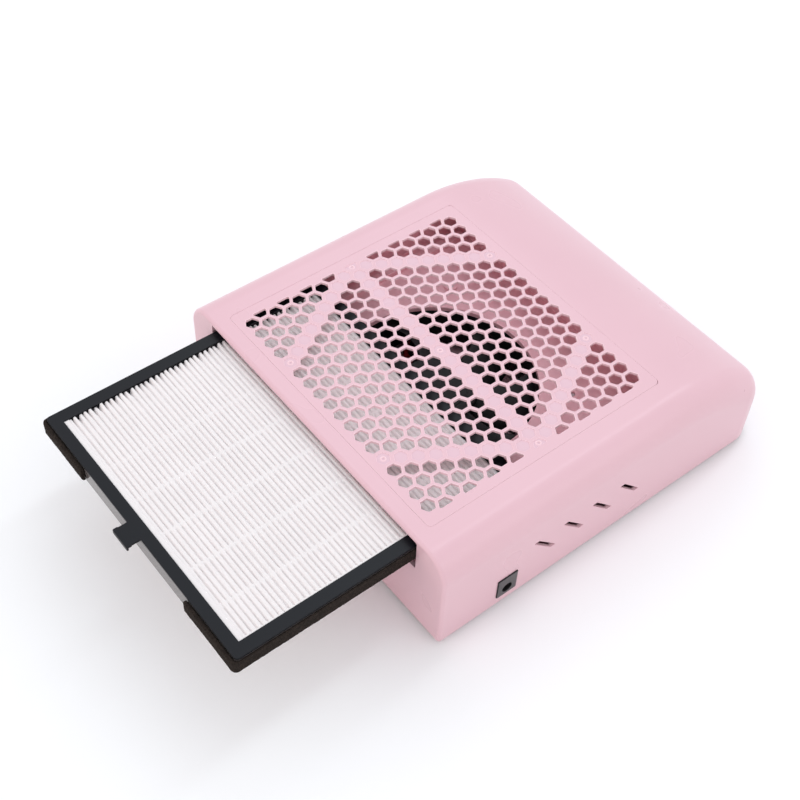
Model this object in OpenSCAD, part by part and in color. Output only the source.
/* [Housing] */
// Width of the housing across its side walls
body_w = 224; // [220:1:232]
// Distance from the fan axis to the front face
front_len = 88; // [88:0.5:90]
// Distance from the fan axis to where the top starts to slope down
slope_y = 75; // [74:1:80]
// Height of the housing above its bottom edge
body_h = 65; // [65:0.5:68]
// Thickness of the moulded walls
wall = 2.5; // [2.2:0.1:2.8]
// Radius along the top side edges and the rear corners
edge_r = 16; // [15:0.5:17]
// Radius of the long curve that carries the top down to the rear
slope_r = 122; // [118:1:126]
// Angle at which the long curve meets the rear rounding
slope_deg = 32.7; // [31:0.1:34]
// Radius of the rounding between the sloping top and the rear wall
rear_r = 20; // [19:0.5:22]
// Height of the rubber feet below the housing
foot_h = 3; // [2:0.5:5]

/* [Grille] */
// Distance between neighbouring hexagonal cells
cell_pitch = 9; // [8.9:0.02:9.04]
// Width of one hexagonal hole across its flats
cell_w = 7.2; // [6.6:0.1:7.4]
// Number of cell rows on each side of the middle row
cell_rows = 9; // [9]
// Depth of the shallow closed cells
cell_recess = 0.35; // [0.2:0.05:0.5]

/* [Filter] */
// Width of the filter cartridge
filter_w = 177; // [175:0.5:177]
// Length of the filter cartridge
filter_l = 174; // [172:0.5:174]
// How far the cartridge stands pulled out of its slot
filter_out = 103.5; // [0:0.5:160]
// Height of the cartridge, from its rim to the bottom of its walls
filter_h = 14.7; // [14:0.1:14.7]
// height of the cartridge's outer wall
skirt_h = 11.7; // [10:0.1:12]
// Spacing of the pleats
pleat_pitch = 3; // [2.8:0.1:4]
// Width of the pull tab
tab_w = 13.6; // [10:0.2:20]

/* [Fan] */
// Side length of the square fan housing
fan_w = 119.6; // [118:0.2:120]
// Depth of the fan housing
fan_d = 25; // [24:0.5:25]
// Radius of the air duct through the fan
duct_r = 57.4; // [56.5:0.1:57.8]
// Number of fan blades
blades = 7; // [5:1:9]
// Setting angle of the blades from the fan's plane
blade_deg = 34; // [30:1:38]

/* [Power socket] */
// Distance of the socket from the fan axis, towards the front
jack_front = 43.5; // [42:0.5:46]
// Height of the socket's square face
jack_h = 15; // [14:0.5:15.5]
// Radius of the round opening for the plug
jack_r = 3.2; // [3:0.05:3.3]

/* [Hidden] */
$fn = 64;
e = 0.05;
hw = body_w / 2;
z_bot = foot_h;
z_top = foot_h + body_h;
// centre of the long slope curve and of the rear rounding, in the Y-Z plane
ya = slope_y;
za = z_top - slope_r;
yb = ya + (slope_r - rear_r) * sin(slope_deg);
zb = za + (slope_r - rear_r) * cos(slope_deg);
rear_len = yb + rear_r;
// grille insert
gx = 9.75 * cell_pitch;
gy0 = -8.7 * cell_pitch;
gy1 = 8.87 * cell_pitch;
gap = 0.2;
rim_t = wall - 1;
// filter cartridge, measured with the cartridge pushed home
fz1 = z_top - 6.3;
fz0 = fz1 - filter_h;
fx = filter_w / 2;
fy0 = -front_len + 0.3;
fy1 = fy0 + filter_l;
rim_x = 7.5;
rim_y = 6.5;
slot_x = 90;
tab_c = -0.5;
// fan deck
dz1 = z_top - 24.75;
dz0 = dz1 - 3;
// fan, hung under the deck on a gasket
gask = 1.5;
fan1 = dz0 - gask;
fan0 = fan1 - fan_d;
hole_p = 52.5;
hub_r = 23;
strut0 = 156;
// base plate
bz0 = z_bot + 0.5;
bz1 = bz0 + 2.5;
deck_posts = [[100, -60], [100, 60], [100, 112]];
shell_bosses = [[104, -78], [97, 135]];
feet = [[90, -68], [90, 124]];
// power socket
jy = -jack_front;
jz = z_bot + 13.25;
jack_w = 13.4;
jack_x0 = hw - 17;
jack_x1 = hw + 0.8;
plug_z = jz - 2.2;
wire_r = 0.8;
wire_gap = 3;

// from the fan axis to the middle of the space the object takes up on the table
ox = (jack_x1 - hw) / 2;
oy = round((rear_len + fy0 - 8 - filter_out) * 50) / 100;

pink = [0.94, 0.78, 0.83];
black = [0.13, 0.14, 0.16];

// ---------- helpers ----------
// the parts are drawn about the fan axis; this moves them to the middle of the footprint
module placed() translate([-ox, -oy, 0]) children();
// flat-topped outline, w2 wide each side of the middle, rounded by r at its two top corners, d deep below y = 0
module round_top(w2, r, d) difference() {
    translate([-w2, -d]) square([2 * w2, d]);
    for (s = [-1, 1]) difference() {
        translate([s > 0 ? w2 - r : -w2 - 1, -r]) square([r + 1, r + 1]);
        translate([s * (w2 - r), -r]) circle(r);
    }
}
// hollow section of the housing, d deep
module skin(d) {
    difference() {
        round_top(hw, edge_r, d);
        translate([0, -wall]) round_top(hw - wall, edge_r - wall, d + 1);
    }
}
// moves to the centre of the rear rounding, in a coarse and a fine step
module at_b() translate([0, floor(yb * 100) / 100, floor(zb * 100) / 100])
    translate([0, yb - floor(yb * 100) / 100, zb - floor(zb * 100) / 100]) children();
// rectangle with rounded corners, from [x0, y0] to [x1, y1]
module rrect(x0, y0, x1, y1, r) {
    translate([x0 + r, y0]) square([x1 - x0 - 2 * r, y1 - y0]);
    translate([x0, y0 + r]) square([x1 - x0, y1 - y0 - 2 * r]);
    for (x = [x0 + r, x1 - r], y = [y0 + r, y1 - r]) translate([x, y]) circle(r);
}
// extrudes a Y-Z outline along +X
module along_x(l) rotate([90, 0, 90]) linear_extrude(l) children();
module both() for (s = [-1, 1]) scale([1, 1, 1]) if (s > 0) children(); else mirror([1, 0, 0]) children();
// one hexagonal cell, points towards +-Y
hex_r = cell_w / 2 / cos(30);
module hex() rotate(30) circle(hex_r, $fn = 6);
// a cell whose outer side is cut straight, s = side it lies on
module hex_cut(s) polygon([[-s * cell_w / 2, hex_r / 2], [0, hex_r], [s * 0.9, hex_r - 0.9 * tan(30)],
    [s * 0.9, -hex_r + 0.9 * tan(30)], [0, -hex_r], [-s * cell_w / 2, -hex_r / 2]]);
n = cell_rows;
function cx(i, j) = (j + i / 2) * cell_pitch;
function cy(i) = i * cell_pitch * sin(60);
function in_row(i, j) = abs(j + i / 2) <= n;
// closed cells: the middle row and the four slanting lines of a hexagon around it
function closed(i, j) = i == 0 || (i > 0 && (j == -n || i + j == n)) || (i < 0 && (j == n || i + j == -n));
function marked(i, j) = (i == 0 && (j == 0 || abs(j) == n)) || (abs(i) == n && (abs(j) == n || j == 0));
// cross-recessed screw, head down at z = 0, shank going up
module screw(hr, hh, r, l) {
    difference() {
        cylinder(h = hh, r = hr);
        translate([-hr * 0.6, -0.4, -1]) cube([hr * 1.2, 0.8, 1 + hh * 0.55]);
        translate([-0.4, -hr * 0.6, -1]) cube([0.8, hr * 1.2, 1 + hh * 0.55]);
    }
    translate([0, 0, hh]) cylinder(h = l, r = r);
}

// ---------- housing ----------
module top_shell() color(pink) difference() {
    union() {
        // flat top with its two rounded side edges
        translate([0, ya, z_top]) rotate([90, 0, 0]) linear_extrude(front_len + ya) skin(edge_r + 6);
        // long slope
        translate([0, ya, za]) rotate([0, -90, 0])
            rotate_extrude(angle = slope_deg, $fn = 200) translate([slope_r, 0]) rotate(-90) skin(edge_r + 6);
        // rounding into the rear wall
        at_b() rotate([0, -90, 0]) rotate([0, 0, 90])
            rotate_extrude(angle = slope_deg - 90, $fn = 96) translate([rear_r, 0]) rotate(-90) skin(rear_r - 2);
        // rear wall and its corners
        at_b() mirror([0, 0, 1]) linear_extrude(zb - z_bot + 3) translate([0, rear_r]) skin(rear_r - 2);
        // side walls
        for (x = [-hw, hw - wall]) translate([x, 0, 0]) along_x(wall)
            polygon(concat([[-front_len, z_bot - 2], [rear_len - edge_r - 1, z_bot - 2]],
                [for (a = [90:-10:slope_deg]) [yb + 3 * sin(a), zb + 3 * cos(a)]],
                [for (k = [0:6]) let (a = slope_deg * (1 - k / 6), r = slope_r - edge_r - 3) [ya + r * sin(a), za + r * cos(a)]],
                [[-front_len, z_top - edge_r - 3]]));
        // front wall
        translate([0, -front_len + wall, z_top]) rotate([90, 0, 0]) linear_extrude(wall) round_top(hw, edge_r, body_h + 2);
        // ledge under the grille insert
        translate([0, 0, z_top - wall]) linear_extrude(1) rrect(-gx - 3, gy0 - 3, gx + 3, gy1 + 3, 3);
        // screw bosses, each tied to the side wall
        for (s = [-1, 1], p = shell_bosses) {
            translate([s * p[0], p[1], bz1 + 2.1]) cylinder(h = 14, r = 4);
            translate([s > 0 ? p[0] : -hw + wall / 2, p[1] - 1, bz1 + 2.1]) cube([hw - wall / 2 - p[0], 2, 14]);
        }
    }
    // level bottom edge
    translate([-hw - 5, -front_len - 5, z_bot - 20]) cube([body_w + 10, front_len + rear_len + 10, 20]);
    // opening for the filter cartridge, up to the underside of the top
    translate([-slot_x, -front_len - 1, fz0 - 2.4]) cube([2 * slot_x, wall + 2, z_top - wall - fz0 + 2.4]);
    // window for the grille insert
    translate([0, 0, z_top - rim_t]) linear_extrude(wall) rrect(-gx - gap / 2, gy0 - gap / 2, gx + gap / 2, gy1 + gap / 2, 3);
    translate([0, 0, z_top - wall - 2]) linear_extrude(wall + 2) rrect(-gx + 2.2, gy0 + 2.2, gx - 2.2, gy1 - 2.2, 2);
    // four slanting air slots in each side
    for (s = [-1, 1], k = [0:3]) translate([s > 0 ? hw - wall - 1 : -hw - 1, -18.8 + 20.25 * k, z_top - 37.5]) along_x(wall + 2)
        polygon([[-7.7, 6.6], [-4.7, 6.6], [7.7, -6.6], [4.7, -6.6]]);
    // round hole for the power socket's barrel
    translate([hw - wall - 1, jy, plug_z]) rotate([0, 90, 0]) cylinder(h = wall + 2, r = 5.25);
    for (s = [-1, 1], p = shell_bosses) translate([s * p[0], p[1], bz1 + 1]) cylinder(h = 14, r = 1.42);
}

module grille_panel() color([0.95, 0.8, 0.85]) difference() {
    union() {
        translate([0, 0, z_top - rim_t]) linear_extrude(rim_t) difference() {
            rrect(-gx + gap / 2, gy0 + gap / 2, gx - gap / 2, gy1 - gap / 2, 2.9);
            open_cells();
        }
        translate([0, 0, z_top - wall]) linear_extrude(wall - rim_t) difference() {
            rrect(-gx + 2.4, gy0 + 2.4, gx - 2.4, gy1 - 2.4, 1.8);
            open_cells();
        }
        // stiffening ribs under the closed cells
        translate([-n * cell_pitch, -0.8, z_top - wall - 2.2]) cube([2 * n * cell_pitch, 1.6, 2.2]);
        for (s = [-1, 1], t = [-1, 1]) translate([s * n * cell_pitch, 0, z_top - wall - 2.2]) rotate(t * (s > 0 ? 120 : 60))
            translate([0, -0.8, 0]) cube([(n - 0.5) * cell_pitch, 1.6, 2.2]);
    }
    translate([0, 0, z_top - cell_recess]) linear_extrude(1) difference() {
        for (i = [-n:n], j = [-2 * n:2 * n]) if (in_row(i, j) && closed(i, j)) translate([cx(i, j), cy(i)]) cell(i, j);
        for (i = [-n:n], j = [-n:n]) if (in_row(i, j) && marked(i, j)) translate([cx(i, j) - sign(round(cx(i, j) / cell_pitch / n)) * (abs(j + i / 2) == n ? 1.3 : 0), cy(i)]) difference() {
            circle(1.5, $fn = 16);
            circle(0.9, $fn = 16);
        }
    }
}
module cell(i, j) if (abs(j + i / 2) == n) hex_cut(sign(j + i / 2)); else hex();
module open_cells() for (i = [-n:n], j = [-2 * n:2 * n]) if (in_row(i, j) && !closed(i, j)) translate([cx(i, j), cy(i)]) cell(i, j);

module base_plate() color(pink) difference() {
    union() {
        translate([0, 0, bz0]) linear_extrude(bz1 - bz0) base_outline(0.3);
        for (s = [-1, 1], p = deck_posts) translate([s * p[0], p[1], bz1 - e]) cylinder(h = dz0 - bz1 + e - 0.02, r = 3.5);
        for (s = [-1, 1], p = shell_bosses) translate([s * p[0], p[1], bz1 - e]) cylinder(h = 2 + e, r = 4.6);
        // rim around the air outlet
        translate([0, 0, bz1 - e]) difference() {
            cylinder(h = 1.5, r = 57);
            translate([0, 0, -1]) cylinder(h = 4, r = 55);
        }
    }
    // air outlet: parallel slots inside a circle
    for (k = [-6:6]) let (l = sqrt(53 * 53 - 64 * k * k)) translate([-l, 8 * k - 1.9, bz0 - 1]) cube([2 * l, 3.8, 4]);
    for (s = [-1, 1], p = shell_bosses) translate([s * p[0], p[1], bz0 - 1]) {
        cylinder(h = 3, r = 3.3);
        cylinder(h = 8, r = 1.7);
    }
    for (s = [-1, 1], p = deck_posts) translate([s * p[0], p[1], dz0 - 12]) cylinder(h = 14, r = 1.42);
    for (s = [-1, 1], p = feet) translate([s * p[0], p[1], bz0 - 1]) cylinder(h = 1.7, r = 7.1);
}
// outline of the housing's inside, drawn in by c
module base_outline(c) {
    w = hw - wall - c;
    r = edge_r - wall - c;
    y1 = rear_len - wall - c;
    y0 = -front_len + wall + c;
    translate([-w, y0]) square([2 * w, y1 - r - y0]);
    translate([-w + r, y0]) square([2 * (w - r), y1 - y0]);
    for (s = [-1, 1]) translate([s * (w - r), y1 - r]) circle(r);
}

module fan_deck() color([0.91, 0.66, 0.72]) difference() {
    union() {
        translate([-hw + 4, -front_len + 3.1, dz0]) cube([body_w - 8, 124 + front_len - 3.1, dz1 - dz0]);
        both() {
            // guide wall beside the cartridge, and the rail it runs on
            translate([90.3, -front_len + 3.1, dz1 - e]) cube([2, front_len - 3.1 + 88.5, 16.5]);
            translate([79, -front_len + 3.1, dz1 - e]) cube([5.5, front_len - 3.1 + 86, fz0 - dz1 - 0.2 + e]);
        }
        // stop behind the cartridge
        translate([-92.3, 88.5, dz1 - e]) cube([184.6, 2, 16.5]);
        for (x = [-hole_p, hole_p], y = [-hole_p, hole_p]) translate([x, y, dz1 - e]) cylinder(h = 1.2 + e, r = 4);
    }
    translate([0, 0, dz0 - 1]) cylinder(h = 6, r = duct_r - 0.9, $fn = 128);
    for (x = [-hole_p, hole_p], y = [-hole_p, hole_p]) translate([x, y, dz0 - 1]) cylinder(h = 4.4, r = 1.92);
    for (s = [-1, 1], p = deck_posts) translate([s * p[0], p[1], dz0 - 1]) cylinder(h = 6, r = 1.6);
}

// ---------- filter cartridge ----------
module ring(x, y0, y1, t, z, h, r) translate([0, 0, z]) linear_extrude(h) difference() {
    rrect(-x, y0, x, y1, r);
    translate([-x + t[0], y0 + t[1]]) square([2 * (x - t[0]), y1 - y0 - t[1] - t[2]]);
}
module filter_frame() color(black) translate([0, -filter_out, 0]) {
    // rim, inner wall and outer wall
    ring(fx, fy0, fy1, [rim_x, rim_y, rim_x], fz1 - 1.2, 1.2, 2);
    ring(fx - rim_x + 1.2, fy0 + rim_y - 1.2, fy1 - rim_x + 1.2, [1.2, 1.2, 1.2], fz0, filter_h - 1.2 + e, 0.6);
    ring(fx, fy0, fy1, [1.3, 1.3, 1.3], fz1 - skirt_h, skirt_h - 1.2 + e, 2);
    // pull tab with a widened, turned-down tip
    translate([tab_c, 0, fz1]) {
        translate([0.4 - tab_w / 2, fy0 - 5.3, -1.4]) cube([tab_w - 0.8, 6.3, 1.4]);
        translate([-tab_w / 2, fy0 - 8, -1.4]) cube([tab_w, 3, 1.4]);
        translate([-tab_w / 2, fy0 - 8, -3]) cube([tab_w, 1.2, 1.6 + e]);
    }
}
module filter_media() color([0.96, 0.95, 0.95]) translate([0, -filter_out, 0]) {
    x = fx - rim_x - 0.15;
    y0 = fy0 + rim_y + 0.15;
    l = filter_l - rim_x - rim_y - 0.3;
    m = floor(l / pleat_pitch);
    p = l / m / 2;
    top = fz1 - 0.8;
    fold = 10;
    sheet = 2.4;
    translate([-x, 0, 0]) along_x(2 * x) polygon(concat(
        [for (k = [0:2 * m]) [y0 + k * p, top - (k % 2) * fold]],
        [for (k = [2 * m:-1:0]) [y0 + k * p, top - sheet - (k % 2) * fold]]));
}
// soft seals glued round the outer wall, thicker at the front than at the sides
foam_t = 2.4;
foam_s = 1.2;
foam_z = fz1 - 10.4;
foam_h = 9;
module foam_l(x0) translate([0, 0, foam_z]) linear_extrude(foam_h) intersection() {
    difference() {
        rrect(-fx - foam_s, fy0 - foam_t, fx + foam_s, fy0 + filter_l - 2, 3);
        rrect(-fx - 0.05, fy0 - 0.05, fx + 0.05, fy1 + 0.05, 2.05);
    }
    translate([x0, fy0 - 10]) square([200, filter_l + 4]);
}
module foam_strip_right() color([0.2, 0.17, 0.16]) translate([0, -filter_out, 0]) foam_l(46.8);
module foam_strip_left() color([0.2, 0.17, 0.16]) translate([0, -filter_out, 0]) mirror([1, 0, 0]) foam_l(48.6);
module foam_strip_rear() color([0.2, 0.17, 0.16]) translate([0, -filter_out, 0])
    translate([-fx + 2.1, fy1 + 0.05, foam_z]) cube([2 * fx - 4.2, 1.15, foam_h]);

// ---------- fan ----------
module fan_gasket() color([0.25, 0.25, 0.26]) translate([0, 0, fan1]) linear_extrude(gask) difference() {
    rrect(-fan_w / 2, -fan_w / 2, fan_w / 2, fan_w / 2, 6);
    circle(duct_r, $fn = 128);
    for (x = [-hole_p, hole_p], y = [-hole_p, hole_p]) translate([x, y]) circle(2.3, $fn = 32);
}
module fan_housing() color(black) difference() {
    union() {
        difference() {
            union() {
                for (z = [fan0, fan1 - 4]) translate([0, 0, z]) linear_extrude(4) rrect(-fan_w / 2, -fan_w / 2, fan_w / 2, fan_w / 2, 6);
                translate([0, 0, fan0 + 1]) cylinder(h = fan_d - 2, r = duct_r + 2, $fn = 128);
            }
            translate([0, 0, fan0 - 1]) cylinder(h = fan_d + 2, r = duct_r, $fn = 128);
        }
        translate([0, 0, fan0]) cylinder(h = 3.5, r = 21);
        for (k = [0:3]) rotate(strut0 + 90 * k) translate([15, k == 0 ? -4.5 : -3, fan0]) cube([duct_r - 14, k == 0 ? 9 : 6, 3.2]);
        translate([0, 0, fan0 + 1]) cylinder(h = 19.5, r = 5.6);
    }
    translate([0, 0, fan0 - 1]) cylinder(h = 3, r = 8);
    translate([0, 0, fan0 + 1]) cylinder(h = 30, r = 4);
    for (x = [-hole_p, hole_p], y = [-hole_p, hole_p]) translate([x, y, fan0 - 1]) cylinder(h = fan_d + 2, r = 2.15);
    // channel that carries the two wires along one strut and out through the duct wall
    rotate(strut0) translate([17, -2.6, jz - 1]) cube([60, 5.2, fan0 + 3.5 - jz + 1.1]);
}
module fan_impeller() color(black) {
    difference() {
        cylinder_at(fan0 + 5.8, fan1 - 0.8, hub_r);
        cylinder_at(fan0 + 4, fan1 - 2.4, hub_r - 1.6);
        cylinder_at(fan0, fan1, 1.5);
    }
    difference() {
        cylinder_at(fan1 - 4.2, fan1 - 2.3, 5);
        cylinder_at(fan0, fan1, 1.5);
    }
    intersection() {
        difference() {
            cylinder_at(fan0 + 6.6, fan1 - 1.3, duct_r - 0.9);
            cylinder_at(fan0, fan1, hub_r - 0.8);
        }
        for (k = [0:blades - 1]) rotate(360 / blades * k + 10) rotate([blade_deg, 0, 0])
            translate([hub_r - 3, -17, -0.8 + 0]) blade_flat();
    }
}
module blade_flat() translate([0, 0, 0]) rotate([-blade_deg, 0, 0]) translate([0, 0, (fan0 + fan1) / 2 + 2.6]) rotate([blade_deg, 0, 0]) cube([duct_r, 34, 1.6]);
module cylinder_at(z0, z1, r) translate([0, 0, z0]) cylinder(h = z1 - z0, r = r);
module rotor_yoke() color([0.6, 0.61, 0.63]) difference() {
    cylinder_at(fan0 + 6.2, fan1 - 2.45, hub_r - 1.65);
    cylinder_at(fan0, fan1, hub_r - 2.65);
}
module rotor_magnet() color([0.22, 0.22, 0.23]) difference() {
    cylinder_at(fan0 + 7.2, fan1 - 5.5, hub_r - 2.7);
    cylinder_at(fan0, fan1, hub_r - 4.7);
}
module motor_shaft() color([0.75, 0.76, 0.78]) difference() {
    cylinder_at(fan0 + 0.8, fan1 - 1.2, 1.5);
    difference() {
        cylinder_at(fan0 + 1.35, fan0 + 1.95, 2);
        cylinder_at(fan0, fan0 + 3, 1.2);
    }
}
module motor_bearings() color([0.7, 0.71, 0.73]) for (z = [fan0 + 2.2, fan0 + 17.2]) difference() {
    cylinder_at(z, z + 3, 3.98);
    cylinder_at(z - 1, z + 4, 1.53);
    for (s = [z - 1, z + 2.7]) difference() {
        cylinder_at(s, s + 1.3, 3.2);
        cylinder_at(s - 1, s + 3, 2.2);
    }
}
module shaft_clip() color([0.55, 0.56, 0.58]) difference() {
    cylinder_at(fan0 + 1.4, fan0 + 1.9, 3);
    cylinder_at(fan0, fan0 + 3, 1.22);
    translate([0, -0.9, fan0]) cube([4, 1.8, 3]);
}
module stator_core() color([0.5, 0.51, 0.53]) translate([0, 0, fan0 + 8.5]) linear_extrude(8) {
    difference() {
        circle(8.2, $fn = 48);
        circle(5.62, $fn = 48);
    }
    for (k = [0:3]) rotate(90 * k + 45) {
        translate([7, -2.4]) square([9, 4.8]);
        intersection() {
            difference() {
                circle(17.7, $fn = 64);
                circle(15.4, $fn = 64);
            }
            polygon([[0, 0], [20, 13.5], [20, -13.5]]);
        }
    }
}
module stator_coils() color([0.72, 0.4, 0.2]) for (k = [0:3]) rotate(90 * k + 45) difference() {
    translate([8.8, -5.6, fan0 + 6.9]) cube([5.4, 11.2, 11.2]);
    translate([8, -2.5, fan0 + 8.4]) cube([8, 5, 8.2]);
}
module motor_board() color([0.1, 0.4, 0.22]) difference() {
    cylinder_at(fan0 + 3.55, fan0 + 4.75, 18.6);
    cylinder_at(fan0, fan1, 5.75);
}

// ---------- power ----------
module dc_jack() color([0.28, 0.29, 0.3]) difference() {
    union() {
        translate([jack_x0, jy, plug_z]) rotate([0, 90, 0]) cylinder(h = jack_x1 - jack_x0 - 0.3, r = 5.1);
        translate([hw, jy - jack_w / 2, jz - jack_h / 2]) cube([jack_x1 - hw, jack_w, jack_h]);
    }
    translate([jack_x1 - 3, jy, plug_z]) rotate([0, 90, 0]) cylinder(h = 4, r = jack_r);
    translate([jack_x0 + 5, jy, plug_z]) rotate([0, 90, 0]) cylinder(h = 20, r = jack_r - 0.25);
    translate([jack_x0 + 2, jy, plug_z]) rotate([0, 90, 0]) cylinder(h = 4, r = 1);
    for (s = [-1, 1]) translate([jack_x0 - 1, jy + s * wire_gap / 2 - 0.8, jz - 0.2]) cube([4, 1.6, 0.4]);
}
module dc_jack_pin() color([0.8, 0.72, 0.4]) translate([jack_x0 + 2, jy, plug_z]) rotate([0, 90, 0]) cylinder(h = jack_x1 - jack_x0 - 5.4, r = 1);
module jack_contacts() color([0.75, 0.76, 0.78]) for (s = [-1, 1])
    translate([jack_x0 - 3, jy + s * wire_gap / 2 - 0.8, jz - 0.2]) cube([6, 1.6, 0.4]);

// points along an arc, ends included
function arc(c, r, a0, a1, n) = [for (k = [0:n]) let (a = a0 + (a1 - a0) * k / n) [c[0] + r * cos(a), c[1] + r * sin(a)]];
// route of one wire, off to the right of the middle line by o: out along the strut, round to the
// front, along the fan's side and the front wall, and up to the socket
wire_R = 7;
wire_x = jack_x0 - 11;
wire_c = [68 * cos(strut0) + wire_R * cos(strut0 + 90), 68 * sin(strut0) + wire_R * sin(strut0 + 90)];
function route(o) = concat(
    [[17.5 * cos(strut0) + o * cos(strut0 - 90), 17.5 * sin(strut0) + o * sin(strut0 - 90)]],
    arc(wire_c, wire_R + o, strut0 - 90, 180, 4),
    arc([wire_c[0], -65], wire_R + o, 180, 270, 4),
    arc([wire_x - wire_R, -65], wire_R + o, 270, 360, 4),
    arc([wire_x + wire_R, jy - wire_R], wire_R - o, 180, 90, 4),
    [[jack_x0 - 3.1, jy - o]]);
// a wire is a chain of straight runs with a slightly larger ball at each change of direction
module wire(o) translate([0, 0, jz]) {
    q = route(o);
    for (k = [0:len(q) - 2]) let (d = q[k + 1] - q[k]) translate([q[k][0], q[k][1], 0])
        rotate([0, 90, atan2(d[1], d[0])]) cylinder(h = norm(d), r = wire_r, $fn = 24);
    for (k = [1:len(q) - 2]) translate([q[k][0], q[k][1], 0]) sphere(r = wire_r * 1.07, $fn = 24);
}
module wire_red() color([0.6, 0.08, 0.1]) wire(wire_gap / 2);
module wire_black() color([0.08, 0.08, 0.09]) wire(-wire_gap / 2);

// ---------- fasteners and feet ----------
module fan_screws() color([0.5, 0.5, 0.52]) for (x = [-hole_p, hole_p], y = [-hole_p, hole_p])
    translate([x, y, fan0 - 2.05]) screw(3.8, 2, 1.9, dz0 + 3.2 - fan0);
module deck_screws() color([0.5, 0.5, 0.52]) for (s = [-1, 1], p = deck_posts)
    translate([s * p[0], p[1], dz1 + 1.65]) mirror([0, 0, 1]) screw(3, 1.6, 1.4, 13);
module base_screws() color([0.5, 0.5, 0.52]) for (s = [-1, 1], p = shell_bosses)
    translate([s * p[0], p[1], bz0 + 0.3]) screw(3, 1.6, 1.4, 12);
module rubber_feet() color([0.2, 0.2, 0.21]) for (s = [-1, 1], p = feet) translate([s * p[0], p[1], 0]) {
    cylinder(h = 0.8, r1 = 6.2, r2 = 7);
    translate([0, 0, 0.8 - e]) cylinder(h = bz0 + 0.7 - 0.8 + e, r = 7);
}

placed() top_shell();
placed() grille_panel();
placed() base_plate();
placed() fan_deck();
placed() filter_frame();
placed() filter_media();
placed() foam_strip_right();
placed() foam_strip_left();
placed() foam_strip_rear();
placed() fan_gasket();
placed() fan_housing();
placed() fan_impeller();
placed() rotor_yoke();
placed() rotor_magnet();
placed() motor_shaft();
placed() motor_bearings();
placed() shaft_clip();
placed() stator_core();
placed() stator_coils();
placed() motor_board();
placed() dc_jack();
placed() dc_jack_pin();
placed() jack_contacts();
placed() wire_red();
placed() wire_black();
placed() fan_screws();
placed() deck_screws();
placed() base_screws();
placed() rubber_feet();
